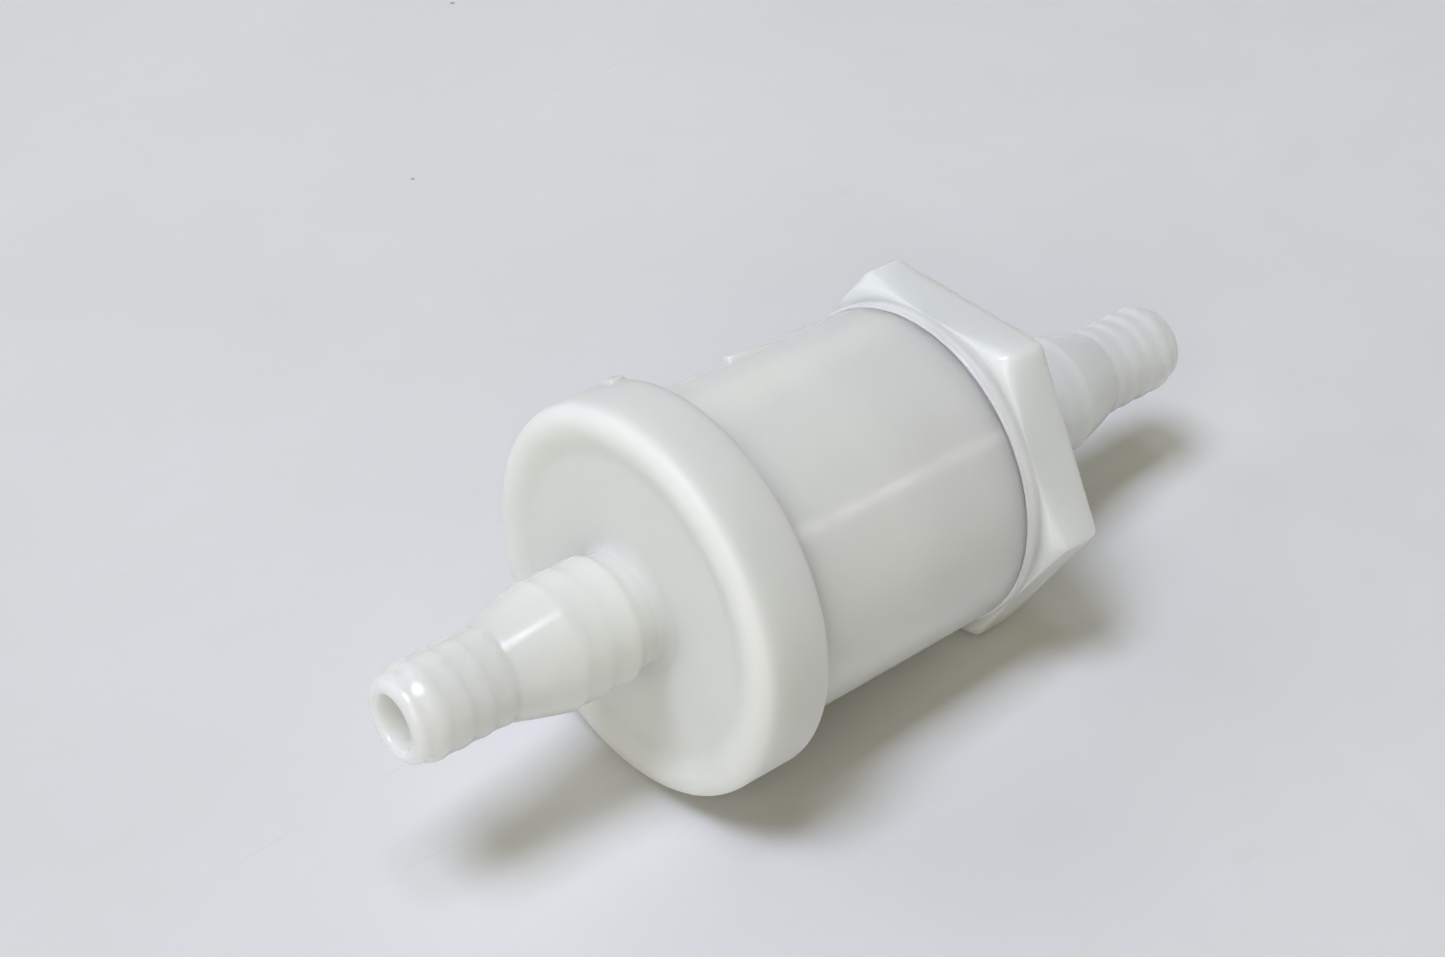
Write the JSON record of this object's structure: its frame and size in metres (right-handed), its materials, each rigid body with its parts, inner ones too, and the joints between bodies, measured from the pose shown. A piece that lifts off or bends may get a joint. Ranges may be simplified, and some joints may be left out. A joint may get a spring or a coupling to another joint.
{
  "type": "inline check valve",
  "caption": "Inline non-return valve in white nylon with a stepped hose barb on each end, a round cap and a wrench hexagon end cap.",
  "frame": {"origin": "on the valve's axis, halfway between the tips of the two barbs", "axes": "+X along the axis from the inlet barb to the outlet barb, +Z out of the hexagon's top flat"},
  "size_m": [0.1108, 0.044, 0.044],
  "materials": {
    "nylon_body": "satin",
    "nylon_cap": "satin",
    "acetal": "satin",
    "black_rubber": "matte",
    "stainless": "satin"
  },
  "bodies": {
    "housing": {"inlet_body": "nylon_body", "spring_guide": "acetal", "return_spring": "stainless"},
    "poppet": {"valve_poppet": "acetal", "poppet_seal": "black_rubber", "seal_clamp_washer": "stainless", "poppet_screw": "stainless"},
    "seal_carrier": {"body_seal_ring": "black_rubber"},
    "end_cap": {"hex_end_cap": "nylon_cap"}
  },
  "joints": [
    {"name": "poppet_slide", "type": "slide", "parent": "housing", "child": "poppet", "axis": [1, 0, 0], "range_m": [0, 0.0055], "stiffness_N_per_m": 60, "springref_m": -0.006, "deforming": ["return_spring"]},
    {"name": "end_cap_travel", "type": "slide", "parent": "housing", "child": "seal_carrier", "axis": [1, 0, 0], "range_m": [0, 0.01]},
    {"name": "end_cap_turn", "type": "hinge", "parent": "seal_carrier", "child": "end_cap", "pos_m": [0, 0, 0], "axis": [1, 0, 0], "range_deg": [0, 1440]}
  ],
  "couplings": [
    {"joint": "end_cap_travel", "follows": "end_cap_turn", "m_per_rad": 0.00039789}
  ]
}
